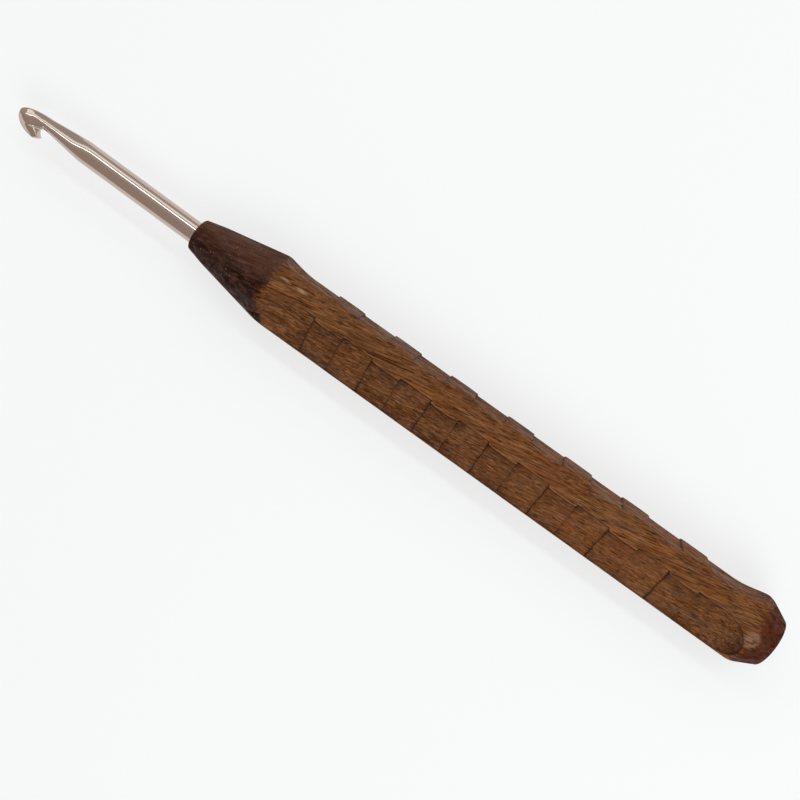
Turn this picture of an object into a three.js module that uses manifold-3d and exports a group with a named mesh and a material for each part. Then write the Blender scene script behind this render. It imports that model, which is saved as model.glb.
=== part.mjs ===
// A crochet hook: a bent-tip metal hook glued into a turned walnut handle that has three
// carved bands of alternating deep and shallow flats.
// Millimetres. The handle's axis runs along X, with the hook's tip towards -X and the butt
// towards +X. +Z is up, and the origin is under the middle of the whole tool, on the table.
import * as THREE from 'three';
import { mergeVertices } from 'three/addons/utils/BufferGeometryUtils.js';
import Module from 'manifold-3d';

// Driving dimensions of the handle, measured along its axis from the nose face
const handleLength = 117.6;
const handleRadius = 6.35;
const noseRadius = 2.9;           // where the nose face would meet the cone if it were sharp
const noseEdgeRound = 0.4;
const noseSwellLength = 3.5;      // the cone is a little steeper over this first stretch
const noseSwellRadius = 3.78;
const noseSwellRound = 14;
const shoulderLength = 16.7;      // where the cone would meet the cylinder
const shoulderRound = 18;
const buttChamferLength = 3.93;
const buttFaceRadius = 4.33;
const buttChamferRound = 3.6;
const buttEdgeRound = 0.35;

// Driving dimensions of the three carved bands
const bandCount = 3;
const firstBandAngle = 41.9;      // degrees from straight up, towards -Y
const deepFlatHeight = 4.66;      // from the handle's axis to a deep flat
const shallowFlatHeight = 5.03;   // and to a shallow one
const carvingDrumRadius = 11.55;  // both ends of a band are hollow, as a drum leaves them
const bandStart = 20.74;          // where the drum's hollow runs out into the deep flat
const bandEnd = 107.14;           // where the flat turns up again towards the butt
const firstTileStart = 25.8;      // shallow tiles stand up between the deep ones
const tilePitch = 11.8;
const tileLength = 5.5;
const tileCount = 7;

// Driving dimensions of the hook, measured from its tip unless a comment says otherwise
const hookReach = 38.08;          // from the tip to the handle's nose face
const shankRadius = 2.0;
const throatStart = 5.55;         // where the throat leaves the head
const throatEnd = 13.3;           // where the shank has its full thickness
const throatFloor = 1.11;         // from the shank's axis to the throat's side with the mouth
const throatBack = 1.19;          // and to its back
const throatHalfWidth = 1.7;      // square to the plane of the mouth
const headHalfWidth = 1.85;
const lipHalfWidth = 0.95;
const pressedFrom = 15.5;         // where the presses' marks on the throat begin
const pressedTo = 10.5;           // and where they have their full depth
const crestInset = 1.6;           // the presses left a crest this far in from the back
const tipInset = 2.2;             // and this far in from the tip and the underside of the head
const crestLimit = 0.62;          // at most this share of the way to the mouth
const flankSlope = 0.88;          // rise over run of the flank outside the crest, in the throat
const headSlope = 0.5;            // and around the head
const crestRound = 0.55;          // the flank is straight beyond this share of its width
const backSquareness = 16;        // 2 leaves the back round, and more squares it off
const tipHeight = 0.53;           // of the tip above the shank's axis, towards the mouth
const bellyHeight = 3.36;         // of the head's underside above the shank's axis
const bellyReach = 4.33;          // from the tip to the fullest part of that underside
const bellyFullness = 2.14;       // 2 makes that underside an ellipse, and more a squarer one
const mouthDepth = 4.09;          // from the tip to the bottom of the mouth
const mouthRadius = 0.17;         // of the round bottom of the mouth
const mouthHeight = 1.6;          // of the centre of that round above the shank's axis
const mouthFloorSlope = 18;       // degrees that the mouth's floor falls, away from its bottom
const mouthFloorLength = 1.8;     // along that slope, to where it turns up to the throat
const mouthSquareness = 8;        // 2 makes the mouth's sides round, and more gives crisp rims
const lipSlope = 44;              // degrees between the lip's inside and the shank
const lipInsideLength = 1.3;      // straight stretch of that inside, before the lip rounds off
const lipEnd = 5.18;              // from the tip to the end of the lip
const lipHeight = 2.86;           // of the end of the lip above the shank's axis
const tangLength = 28;            // inside the handle
const tangChamfer = 0.3;
const mouthRoll = 97;             // degrees from straight up, towards -Y
const hookLean = 0.68;            // degrees: the bore was drilled a little out of true
const hookOffset = 0.065;         // towards -Y, at the nose face

// Driving dimensions of the glued joint
const boreRadius = 2.25;
const tangEndGap = 2;             // between the end of the tang and the end of the bore
const glueClearance = 0.02;
const glueFillet = 0.2;           // the bead of glue around the shank at the nose face

// How finely round things are divided
const handleSides = 24;
const hookSides = 32;
const arcStepDegrees = 4;
const headRings = 26;
const throatRings = 12;
const lipRings = 8;
const drumSteps = 14;

// The head's rings fan round the mouth as a turn that runs from 0, at the throat, to 1, where
// the lip starts to round off. These are the turns at which the rings reach the end of the
// throat's floor, the tip, and the start of the lip's straight inside.
const floorTurn = 0.25;
const tipTurn = 0.5;
const lipTurn = 0.72;

const boreDepth = tangLength + tangEndGap;
const radians = THREE.MathUtils.degToRad;
const mix = THREE.MathUtils.lerp;
const { smoothstep } = THREE.MathUtils;
const sideDirection = 90;         // degrees between the radial and the side direction
const cutterMargin = 1;
const mergeDistance = 1e-5;
const ellipse = 2;                // the power that makes a superellipse an ellipse
const middleShare = 0.5;

const wasm = await Module();
wasm.setup();

// One closed body of a geometry whose shared corners are merged
function toSolid(geometry) {
  const bare = geometry.clone();
  bare.deleteAttribute('normal');
  bare.deleteAttribute('uv');
  const merged = mergeVertices(bare, mergeDistance);
  return new wasm.Manifold(new wasm.Mesh({
    numProp: 3,
    vertProperties: new Float32Array(merged.attributes.position.array),
    triVerts: new Uint32Array(merged.index.array),
  }));
}

// The geometry of a solid, with flat faces
function toGeometry(solid) {
  const mesh = solid.getMesh();
  const geometry = new THREE.BufferGeometry();
  geometry.setAttribute('position', new THREE.BufferAttribute(mesh.vertProperties, 3));
  geometry.setIndex(new THREE.BufferAttribute(mesh.triVerts, 1));
  const flat = geometry.toNonIndexed();
  flat.computeVertexNormals();
  return flat;
}

// The points of a round of the given radius in the corner between two straight lines
function roundCorner(before, corner, after, radius) {
  const back = before.clone().sub(corner).normalize();
  const ahead = after.clone().sub(corner).normalize();
  const halfAngle = Math.acos(THREE.MathUtils.clamp(back.dot(ahead), -1, 1)) / 2;
  const centreWay = back.clone().add(ahead).normalize();
  const centre = corner.clone().addScaledVector(centreWay, radius / Math.sin(halfAngle));
  const reach = radius / Math.tan(halfAngle);
  const from = corner.clone().addScaledVector(back, reach).sub(centre);
  const to = corner.clone().addScaledVector(ahead, reach).sub(centre);
  const turn = Math.atan2(from.cross(to), from.dot(to));
  const steps = Math.max(2, Math.ceil(Math.abs(turn) / radians(arcStepDegrees)));
  const points = [];
  for (let i = 0; i <= steps; i += 1) {
    const arm = from.clone().rotateAround(new THREE.Vector2(), turn * (i / steps));
    points.push(centre.clone().add(arm));
  }
  return points;
}

// A turned body about the X axis, with its flat sides at the true radius and one of them facing
// down. The corners are radius and length pairs, and the first and the last lie on the axis.
function turned(corners, sides) {
  const halfSide = Math.PI / sides;
  const at = corners.map(({ radius, length }) => (
    new THREE.Vector2(radius / Math.cos(halfSide), length)));
  const profile = [at[0]];
  for (let i = 1; i < at.length - 1; i += 1) {
    const { round } = corners[i];
    profile.push(...(round ? roundCorner(at[i - 1], at[i], at[i + 1], round) : [at[i]]));
  }
  profile.push(at[at.length - 1]);
  return new THREE.LatheGeometry(profile, sides, halfSide, 2 * Math.PI)
    .rotateZ(-Math.PI / 2);
}

// The handle before it is carved: nose, cone, shoulder, cylinder and chamfered butt
function handleBlank() {
  return turned([
    { radius: 0, length: 0 },
    { radius: noseRadius, length: 0, round: noseEdgeRound },
    { radius: noseSwellRadius, length: noseSwellLength, round: noseSwellRound },
    { radius: handleRadius, length: shoulderLength, round: shoulderRound },
    { radius: handleRadius, length: handleLength - buttChamferLength, round: buttChamferRound },
    { radius: buttFaceRadius, length: handleLength, round: buttEdgeRound },
    { radius: 0, length: handleLength },
  ], handleSides);
}

// What the carving takes away along one band, seen from the side: a drum's hollow at each
// end, and the deep flat between them with the shallow tiles standing on it
function bandOutline() {
  const top = handleRadius + cutterMargin;
  const drumHeight = deepFlatHeight + carvingDrumRadius;
  const sweep = Math.acos((drumHeight - top) / carvingDrumRadius);
  const outline = new THREE.Shape();
  outline.absarc(bandStart, drumHeight, carvingDrumRadius, -Math.PI / 2 - sweep, -Math.PI / 2, false);
  for (let i = 0; i < tileCount; i += 1) {
    const start = firstTileStart + i * tilePitch;
    outline.lineTo(start, deepFlatHeight);
    outline.lineTo(start, shallowFlatHeight);
    outline.lineTo(start + tileLength, shallowFlatHeight);
    outline.lineTo(start + tileLength, deepFlatHeight);
  }
  outline.absarc(bandEnd, drumHeight, carvingDrumRadius, -Math.PI / 2, -Math.PI / 2 + sweep, false);
  outline.closePath();
  return outline;
}

// The body that is taken away along one band, at its angle about the handle's axis
function bandCutter(angle) {
  const width = 2 * (handleRadius + cutterMargin);
  return new THREE.ExtrudeGeometry(bandOutline(), {
    depth: width, bevelEnabled: false, curveSegments: drumSteps,
  })
    .translate(0, 0, -width / 2)
    .rotateX(radians(sideDirection + angle));
}

// The hook, its glue and its bore share one local frame: X runs from the nose face into the
// handle, and +Z is the way that the mouth opens. This turns them into the handle's frame.
function seatInHandle(geometry) {
  return geometry
    .rotateX(radians(mouthRoll))
    .rotateZ(-radians(hookLean))
    .translate(0, -hookOffset, 0);
}

// A turned body in the hook's local frame, with the same sides as the shank has. The corners
// are radius and length pairs.
function turnedInHookFrame(corners) {
  const points = corners.map(([radius, length]) => new THREE.Vector2(radius, length));
  return new THREE.LatheGeometry(points, hookSides).rotateZ(-Math.PI / 2);
}

// The blind hole that the hook is glued into
function boreCutter() {
  return seatInHandle(turnedInHookFrame([
    [0, -cutterMargin],
    [boreRadius, -cutterMargin],
    [boreRadius, boreDepth],
    [0, boreDepth],
  ]));
}

function handleGeometry() {
  let solid = toSolid(handleBlank());
  for (let i = 0; i < bandCount; i += 1) {
    solid = solid.subtract(toSolid(bandCutter(firstBandAngle + i * (360 / bandCount))));
  }
  return toGeometry(solid.subtract(toSolid(boreCutter())));
}

// A cup of glue: it fills the gap around the tang and the end of the bore, and rises in a
// small bead around the shank
function glueGeometry() {
  const inner = shankRadius + glueClearance;
  const outer = boreRadius - glueClearance;
  const floor = tangLength + glueClearance;
  return seatInHandle(turnedInHookFrame([
    [0, floor],
    [inner, floor],
    [inner, -glueFillet],
    [outer, 0],
    [outer, boreDepth - glueClearance],
    [0, boreDepth - glueClearance],
  ]));
}

// The height of a superellipse of the given power at a share of the way to its edge
function superellipse(away, power) {
  return (1 - away ** power) ** (1 / power);
}

// A ring of the hook: it spans from an outer to an inner point of the side view, each an x and
// height pair, and it is highest along a crest, at a share of that span. On the side of the
// mouth it is half a superellipse. Where the rod is pressed, its back is half a squarer one that
// falls away from the crest, first in a round and then along a straight flank.
function hookRing(outer, inner, {
  halfWidth, squareness = ellipse, pressed = 0, crest = middleShare, slope = flankSlope,
}) {
  const backSpan = crest * Math.hypot(inner[0] - outer[0], inner[1] - outer[1]);
  const ring = [];
  for (let i = 0; i < hookSides; i += 1) {
    const angle = (2 * Math.PI * i) / hookSides;
    const across = Math.cos(angle);
    const away = Math.abs(across);
    const isMouth = across > 0;
    const round = Math.min(away, crestRound);
    const run = round ** 2 / (2 * crestRound) + away - round;
    const flank = superellipse(away, backSquareness) * (1 - (slope * backSpan * run) / halfWidth);
    const back = mix(superellipse(away, ellipse), flank, pressed);
    const height = isMouth ? superellipse(away, squareness) : back;
    const share = crest + across * (isMouth ? 1 - crest : crest);
    ring.push(new THREE.Vector3(
      mix(outer[0], inner[0], share),
      -halfWidth * height * Math.sign(Math.sin(angle)),
      mix(outer[1], inner[1], share),
    ));
  }
  return ring;
}

// The head's outside meets at the tip: its back is a quarter of an ellipse, and its underside
// a quarter of a superellipse. The turn runs from 0 at the throat's back through the tip to 1
// at the belly.
function headOutside(turn) {
  const along = Math.sin(Math.PI * turn);
  const across = Math.cos(Math.PI * turn);
  if (turn < tipTurn) {
    return [throatStart * (1 - along), tipHeight - (tipHeight + throatBack) * across];
  }
  const power = ellipse / bellyFullness;
  return [
    bellyReach * (1 - along ** power),
    tipHeight + (bellyHeight - tipHeight) * Math.abs(across) ** power,
  ];
}

// The mouth's side of the head: up along the mouth's floor, round the bottom of the mouth, and
// out along the straight inside of the lip
function mouthInside(turn) {
  const centre = new THREE.Vector2(mouthDepth + mouthRadius, mouthHeight);
  const onRound = (angle) => new THREE.Vector2(mouthRadius, 0)
    .rotateAround(new THREE.Vector2(), angle).add(centre);
  const floorAngle = -Math.PI / 2 - radians(mouthFloorSlope);
  const lipAngle = radians(lipSlope) - 1.5 * Math.PI;
  if (turn < floorTurn) {
    const fall = new THREE.Vector2(mouthFloorLength, 0)
      .rotateAround(new THREE.Vector2(), -radians(mouthFloorSlope));
    const foot = onRound(floorAngle);
    const throat = new THREE.Vector2(throatStart, throatFloor);
    return new THREE.QuadraticBezierCurve(throat, foot.clone().add(fall), foot)
      .getPoint(turn / floorTurn).toArray();
  }
  const share = Math.min(1, (turn - floorTurn) / (lipTurn - floorTurn));
  const out = lipInsideLength * Math.max(0, (turn - lipTurn) / (1 - lipTurn));
  return new THREE.Vector2(out, 0).rotateAround(new THREE.Vector2(), radians(lipSlope))
    .add(onRound(mix(floorAngle, lipAngle, share))).toArray();
}

// The half width of the head, square to the plane of the mouth
function headHalfWidthAt(turn) {
  if (turn < tipTurn) {
    return mix(throatHalfWidth, headHalfWidth, Math.sin(Math.PI * turn));
  }
  return mix(headHalfWidth, lipHalfWidth, smoothstep(turn, tipTurn, 1));
}

// All rings of the hook, from the end of the tang through the throat and round the head
function hookRings() {
  const rings = [];
  const straight = (x, radius) => rings.push(hookRing([x, -radius], [x, radius], { halfWidth: radius }));
  straight(hookReach + tangLength, shankRadius - tangChamfer);
  straight(hookReach + tangLength - tangChamfer, shankRadius);
  straight(hookReach, shankRadius);
  straight(pressedFrom, shankRadius);
  for (let i = 1; i < throatRings; i += 1) {
    const x = mix(pressedFrom, throatStart, i / throatRings);
    const taper = Math.max(0, (throatEnd - x) / (throatEnd - throatStart));
    const pressed = 1 - smoothstep(x, pressedTo, pressedFrom);
    rings.push(hookRing([x, -mix(shankRadius, throatBack, taper)], [x, mix(shankRadius, throatFloor, taper)], {
      halfWidth: mix(shankRadius, throatHalfWidth, taper),
      pressed,
      crest: mix(middleShare, crestLimit, pressed),
    }));
  }
  for (let i = 0; i <= headRings; i += 1) {
    const turn = i / headRings;
    const outside = headOutside(turn);
    const inside = mouthInside(turn);
    const span = Math.hypot(inside[0] - outside[0], inside[1] - outside[1]);
    const inset = mix(crestInset, tipInset, smoothstep(turn, 0, tipTurn));
    rings.push(hookRing(outside, inside, {
      halfWidth: headHalfWidthAt(turn),
      squareness: mix(ellipse, mouthSquareness, Math.min(1, turn / floorTurn)),
      pressed: 1,
      crest: Math.min(crestLimit, inset / span),
      slope: mix(flankSlope, headSlope, smoothstep(turn, 0, floorTurn)),
    }));
  }
  return rings;
}

// The lip: the last ring of the head shrinks towards the end of the lip in rounded steps
function lipEndRings(lastRing) {
  const end = new THREE.Vector3(lipEnd, 0, lipHeight);
  const rings = [];
  for (let i = 1; i < lipRings; i += 1) {
    const angle = (Math.PI / 2) * (i / lipRings);
    const ahead = Math.sin(angle);
    const size = Math.cos(angle);
    const centre = lastRing.reduce((sum, p) => sum.add(p), new THREE.Vector3())
      .divideScalar(lastRing.length);
    rings.push(lastRing.map((p) => p.clone().sub(centre).multiplyScalar(size)
      .add(centre).addScaledVector(end.clone().sub(centre), ahead)));
  }
  return { rings, end };
}

// A closed skin over rings that all have the same number of points, with a point at each end
function skinOver(rings, first, last) {
  const corners = [first, ...rings.flat(), last];
  const count = rings[0].length;
  const lastIndex = corners.length - 1;
  const faces = [];
  for (let i = 0; i < count; i += 1) {
    const next = (i + 1) % count;
    faces.push(0, 1 + i, 1 + next);
    for (let k = 0; k < rings.length - 1; k += 1) {
      const here = 1 + k * count;
      const there = here + count;
      faces.push(here + i, there + i, there + next);
      faces.push(here + i, there + next, here + next);
    }
    const edge = 1 + (rings.length - 1) * count;
    faces.push(edge + i, lastIndex, edge + next);
  }
  const geometry = new THREE.BufferGeometry().setFromPoints(corners);
  geometry.setIndex(faces);
  return geometry;
}

function hookGeometry() {
  const body = hookRings();
  const lip = lipEndRings(body[body.length - 1]);
  const tangEnd = new THREE.Vector3(hookReach + tangLength, 0, 0);
  const skin = skinOver([...body, ...lip.rings], tangEnd, lip.end).toNonIndexed();
  skin.translate(-hookReach, 0, 0);
  skin.computeVertexNormals();
  return seatInHandle(skin);
}

const walnut = new THREE.MeshStandardMaterial({ color: 0x69412a, roughness: 0.62, metalness: 0 });
const aluminium = new THREE.MeshStandardMaterial({ color: 0xb9aea8, roughness: 0.22, metalness: 1 });
const epoxy = new THREE.MeshStandardMaterial({ color: 0xc9a865, roughness: 0.3, metalness: 0 });

function piece(name, geometry, material) {
  const mesh = new THREE.Mesh(geometry, material);
  mesh.name = name;
  return mesh;
}

const crochetHook = new THREE.Group();
crochetHook.add(
  piece('handle', handleGeometry(), walnut),
  piece('hook', hookGeometry(), aluminium),
  piece('glue_sleeve', glueGeometry(), epoxy),
);

// The origin goes under the middle of the tool, at the height of its lowest point
const box = new THREE.Box3().setFromObject(crochetHook);
const middle = box.getCenter(new THREE.Vector3());
crochetHook.position.set(-middle.x, -middle.y, -box.min.z);

export default crochetHook;
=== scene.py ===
# The looks of a crochet hook: a polished metal hook glued into a carved walnut handle.
import math

import bpy
import numpy as np
from mathutils import Matrix, Vector


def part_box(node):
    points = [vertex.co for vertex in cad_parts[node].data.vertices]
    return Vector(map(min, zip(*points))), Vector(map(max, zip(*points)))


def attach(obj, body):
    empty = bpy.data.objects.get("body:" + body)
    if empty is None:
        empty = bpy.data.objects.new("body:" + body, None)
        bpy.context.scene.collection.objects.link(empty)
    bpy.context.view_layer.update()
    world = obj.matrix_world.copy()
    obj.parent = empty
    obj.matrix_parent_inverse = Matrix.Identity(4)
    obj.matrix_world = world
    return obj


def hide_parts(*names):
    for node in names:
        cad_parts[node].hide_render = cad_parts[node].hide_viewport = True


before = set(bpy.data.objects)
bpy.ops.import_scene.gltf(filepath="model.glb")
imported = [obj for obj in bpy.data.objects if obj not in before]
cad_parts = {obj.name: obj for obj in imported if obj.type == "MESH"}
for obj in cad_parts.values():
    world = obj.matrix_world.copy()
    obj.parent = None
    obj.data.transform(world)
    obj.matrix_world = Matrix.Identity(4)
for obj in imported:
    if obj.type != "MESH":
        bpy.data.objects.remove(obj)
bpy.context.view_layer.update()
mm = 0.001  # the dictionaries below are in millimetres and degrees

handleLow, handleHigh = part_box("handle")
noseX = handleLow.x  # the nose face, where every length below starts
axisHeight = (handleLow.z + handleHigh.z) / 2

# The camera, worked out from how the handle's outline narrows in the photograph
view = {
    "imageSide": 800,         # pixels
    "focalLength": 1150,      # pixels
    "aimAlong": 44.8,         # from the nose face to the middle of the picture
    "aimAside": -2.94,
    "distance": 194.1,
    "nearest": 10,            # what is nearer to the camera isn't drawn
    "tilt": 4.0,              # degrees: the butt is nearer to the camera than the tip
    "slope": 35.62,           # degrees that the axis falls, to the right
    "sensorWidth": 36.0,
}


def makeCamera():
    # The camera's right, up and backward axes are the part's, turned by the slope about Z and
    # then by the tilt about Y. It stands off its aim by the distance along the backward axis, and
    # the lens is to the sensor as the focal length is to the side of the picture
    tilt, slope = math.radians(view["tilt"]), math.radians(view["slope"])
    right = Vector((math.cos(slope) * math.cos(tilt), math.sin(slope),
                    -math.sin(tilt) * math.cos(slope)))
    up = Vector((-math.sin(slope) * math.cos(tilt), math.cos(slope),
                 math.sin(tilt) * math.sin(slope)))
    back = right.cross(up)
    aim = Vector((noseX + view["aimAlong"] * mm, view["aimAside"] * mm, axisHeight))
    camera = bpy.data.objects.new("camera", bpy.data.cameras.new("camera"))
    camera.data.sensor_width = view["sensorWidth"]
    camera.data.lens = view["focalLength"] / view["imageSide"] * view["sensorWidth"]
    camera.data.clip_start = view["nearest"] * mm
    turned = Matrix((right, up, back)).transposed().to_4x4()
    camera.matrix_world = Matrix.Translation(aim + back * view["distance"] * mm) @ turned
    bpy.context.scene.collection.objects.link(camera)
    bpy.context.scene.camera = camera


makeCamera()
print("camera placed")


# Meshes

def ringMesh(name, rings, firstCentre, lastCentre, attributes=None):
    # A closed skin over rings: point (i, j) is point j of ring i, quads join neighbours both
    # ways, and a fan of triangles closes each end on its centre
    count, around = rings.shape[:2]
    points = np.concatenate([rings.reshape(-1, 3), [firstCentre, lastCentre]])
    here = np.arange(count * around).reshape(count, around)
    beside = np.roll(here, -1, axis=1)
    quads = np.stack([here[:-1], beside[:-1], beside[1:], here[1:]], axis=-1).reshape(-1, 4)
    first, last = count * around, count * around + 1
    start = np.stack([np.full(around, first), beside[0], here[0]], axis=-1)
    end = np.stack([np.full(around, last), here[-1], beside[-1]], axis=-1)
    corners = points[quads]
    outward = np.einsum("ij,ij->", np.cross(corners[:, 0], corners[:, 1]), corners[:, 2]) > 0
    way = 1 if outward else -1
    faces = quads[:, ::way].tolist() + start[:, ::way].tolist() + end[:, ::way].tolist()
    mesh = bpy.data.meshes.new(name)
    mesh.from_pydata((points * mm).tolist(), [], faces)
    mesh.polygons.foreach_set("use_smooth", np.ones(len(faces), bool))
    for label, values in (attributes or {}).items():
        layer = mesh.attributes.new(label, "FLOAT", "POINT")
        layer.data.foreach_set("value", np.append(values.ravel(), [0.0, 0.0]).astype(np.float32))
    mesh.update()
    piece = bpy.data.objects.new(name, mesh)
    bpy.context.scene.collection.objects.link(piece)
    return piece


def roundCorner(before, corner, after, radius, steps=10):
    # Points of the arc of that radius which touches both straight lines through the corner
    before, corner, after = np.array(before), np.array(corner), np.array(after)
    back = (before - corner) / np.linalg.norm(before - corner)
    ahead = (after - corner) / np.linalg.norm(after - corner)
    half = math.acos(np.clip(back @ ahead, -1, 1)) / 2
    middle = (back + ahead) / np.linalg.norm(back + ahead)
    centre = corner + middle * radius / math.sin(half)
    reach = radius / math.tan(half)
    start, stop = corner + back * reach - centre, corner + ahead * reach - centre
    turn = math.atan2(start[0] * stop[1] - start[1] * stop[0], start @ stop)
    angles = np.linspace(0, turn, steps + 1)[:, None]
    side = np.array([-start[1], start[0]])
    return centre + np.cos(angles) * start + np.sin(angles) * side


# The handle: turned walnut with three bands carved into it

handle = {
    "length": 117.6,
    "radius": 6.35,
    "noseRadius": 2.9, "noseEdgeRound": 0.4,
    "noseSwellLength": 3.5, "noseSwellRadius": 3.78, "noseSwellRound": 14,
    "shoulderLength": 16.7, "shoulderRound": 18,
    "buttChamferLength": 3.93, "buttFaceRadius": 4.33,
    "buttChamferRound": 3.6, "buttEdgeRound": 0.35,
    "bandCount": 3, "firstBandAngle": 41.9,
    "deepFlatHeight": 4.66, "shallowFlatHeight": 5.03,
    "drumRadius": 11.55, "bandStart": 20.74, "bandEnd": 107.14,
    "firstTileStart": 25.8, "tilePitch": 11.8, "tileLength": 5.5, "tileCount": 7,
    "stepWidth": 0.14,        # how far a step's wall reaches along the handle
    "stepCrown": 0.07,        # sanding lowers a tile this much at its ends
    "crownReach": 0.45, "crownEnd": 3,
    "firstStepDrift": 0.45,   # the first band was marked out this much late, less further on
    "driftReach": 62,
    "stepWander": 0.1,        # each step was cut by hand, so it wanders
    "wanderReach": 1.5,
    "stepPhase": 2.4, "bandPhase": 1.7,  # radians that it moves on by, from each to the next
    "bendShare": 0.4, "bends": 7, "bendPhase": 3,
    "arrisSoftness": 0.14,    # sanding takes the sharpness off each arris
    "sandingDepth": 0.02,     # slow unevenness left by sanding
    "rippleAlong": 0.61, "rippleAround": 3, "swellAlong": 0.23, "swellAround": 5,
    "grooveReach": 0.15,      # painted shade lies this near to a step's foot, with some dark finish gathered there
    "grooveOffset": 0.3,      # which lies this share of the reach from the step
    "backGrooveShade": 0.85,       # and less at the steps that face the butt
    "backGrooveReach": 0.6,
    "grooveShadeMiddle": 0.3,      # this share of it is left in the middle of a step
    "tileShade": 0.5,         # painted shade darkens a tile this much at its sides
    "scoopShade": 0.8,        # and the hollow at the butt this much at its far end, which faces away from the light
    "scoopShadeStart": 108.3, "scoopShadeReach": 4.2,
    "stepShadeReach": 2.2,        # painted shade fades this far past each step, most in its corners
    "shadeRimGap": 0.1,            # a painted dark rim of shade lies this far below an arris, on the carved side
    "shadeRimShares": (1, 1, 0.2),  # and there is less of it on the band that faces the light
    "arrisGap": 0.07,         # pale wear, with a painted highlight, shows this near to an arris
    "sharpStart": 19, "sharpFrom": 24,  # the arris is sanded away up to the first length
    "paleArrisUntil": 107, "paleArrisEnd": 110,   # and isn't painted pale past the last
    "boreRadius": 2.25, "boreDepth": 30, "boreOffset": 0.065,
    "boreLean": 0.68,         # degrees
    "boreRows": (10, 0.25, 0.06), "boreFloorInset": 1.5, "boreEdge": 0.03,
    "faceRows": 4, "faceGaps": (0.08, 0.02),  # the nose's face, inside its two edges
    "buttRings": (0.97, 0.8, 0.5, 0.2),       # shares of the butt's face
    "rowStep": 0.5, "leastRowStep": 0.012,
    "stepRows": (-1.6, -0.9, -0.5, -0.3, -0.1, 0.1, 0.3, 0.5, 0.9, 1.6),  # in step widths
    "hollowRows": 28, "hollowMargin": 0.4, "hollowGap": 1.5,
    # Columns of points, as shares of the angle inside and of the angle outside an arris: evenly
    # spaced, and closer together near to the arris
    "insideColumns": 14, "insideEven": 0.88, "insideNear": (0.92, 0.95, 0.97, 0.985, 1.0),
    "outsideColumns": 8, "outsideEven": 0.2, "outsideNear": (0.02, 0.045, 0.08, 0.13),
    "leastArrisAngle": 4,     # degrees from a band's middle, where nothing is carved
}
tileRise = handle["shallowFlatHeight"] - handle["deepFlatHeight"]


def blankProfile():
    # The turned outline as length and radius pairs, from the nose edge to the butt edge
    h = handle
    corners = [
        (0, h["boreRadius"], 0),
        (0, h["noseRadius"], h["noseEdgeRound"]),
        (h["noseSwellLength"], h["noseSwellRadius"], h["noseSwellRound"]),
        (h["shoulderLength"], h["radius"], h["shoulderRound"]),
        (h["length"] - h["buttChamferLength"], h["radius"], h["buttChamferRound"]),
        (h["length"], h["buttFaceRadius"], h["buttEdgeRound"]),
        (h["length"], 0, 0),
    ]
    at = [corner[:2] for corner in corners]
    arcs = [roundCorner(at[i - 1], at[i], at[i + 1], corners[i][2]) for i in range(1, len(at) - 1)]
    return np.concatenate(arcs), arcs[0], arcs[-1]


def stepUp(distance, width):
    # Rises from 0 to 1 across the width, as a quarter of a sine to each side of the middle
    return 0.5 + 0.5 * np.sin(np.pi / 2 * np.clip(2 * distance / width, -1, 1))


def stepPlaces():
    # Each step's place along the handle, with 1 where a tile starts and -1 where it ends
    h = handle
    starts = h["firstTileStart"] + h["tilePitch"] * np.arange(h["tileCount"])
    places = np.concatenate([starts, starts + h["tileLength"]])
    return places, np.repeat([1, -1], h["tileCount"])


def inBands(along):
    # Where the tiles lie, short of the hollows at both ends
    return (along > handle["bandStart"]) & (along < handle["bandEnd"])


def bandHeight(along):
    # From the axis to a band's surface: the deep flat, plus what stands up of a tile, less its
    # sanded crown, plus the hollow that a drum leaves past either end, which is a circle's rise
    # over that distance
    h = handle
    past = np.maximum(0, np.maximum(h["bandStart"] - along, along - h["bandEnd"]))
    hollow = h["drumRadius"] - np.sqrt(np.maximum(h["drumRadius"] ** 2 - past ** 2, 0))
    height = h["deepFlatHeight"] + hollow
    for place, way in zip(*stepPlaces()):
        inward = way * (along - place)
        onTile = (inward > 0) & (inward < h["crownEnd"])
        crown = h["stepCrown"] * np.exp(-np.maximum(inward, 0) / h["crownReach"]) * onTile
        height = height + way * tileRise * stepUp(along - place, h["stepWidth"]) - crown
    return height


def softMin(a, b, softness):
    # The smaller of two values, with the crease between them rounded over the softness
    near = np.maximum(softness - np.abs(a - b), 0) / softness
    return np.minimum(a, b) - near ** 2 * softness / 4


def handleRows():
    # Lengths of the rows of points: evenly spaced, and close together at the steps and in the
    # hollows, which reach as far as the drum cuts below the turned outline
    h = handle
    noseArc, buttArc = blankProfile()[1:]
    first, last = noseArc[-1][0], buttArc[0][0]
    rows = [np.arange(first, last, h["rowStep"]), [last]]
    near = h["stepWidth"] * np.array(h["stepRows"])
    rows += [place + near for place in stepPlaces()[0]]
    drumDepth = h["drumRadius"] - h["radius"] + h["deepFlatHeight"]
    outer = math.sqrt(h["drumRadius"] ** 2 - drumDepth ** 2) + h["hollowMargin"]
    inner, count = h["hollowGap"], h["hollowRows"]
    rows.append(np.linspace(h["bandStart"] - outer, h["bandStart"] - inner, count))
    rows.append(np.linspace(h["bandEnd"] + inner, h["bandEnd"] + outer, count))
    rows = np.unique(np.round(np.concatenate(rows), 3))
    return rows[np.append(True, np.diff(rows) > h["leastRowStep"])]


def handleColumns():
    # Each column's sign, and its shares of the angle inside and of the angle outside an arris
    h = handle
    evenInside = np.linspace(0, h["insideEven"], h["insideColumns"])
    evenOutside = np.linspace(h["outsideEven"], 1, h["outsideColumns"])
    inside = np.concatenate([evenInside, h["insideNear"]])
    outside = np.concatenate([h["outsideNear"], evenOutside])
    half = [(share, 0.0) for share in inside] + [(1.0, share) for share in outside]
    left = [(-1, a, b) for a, b in reversed(half[1:-1])]
    return np.array(left + [(1, a, b) for a, b in half])


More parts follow.
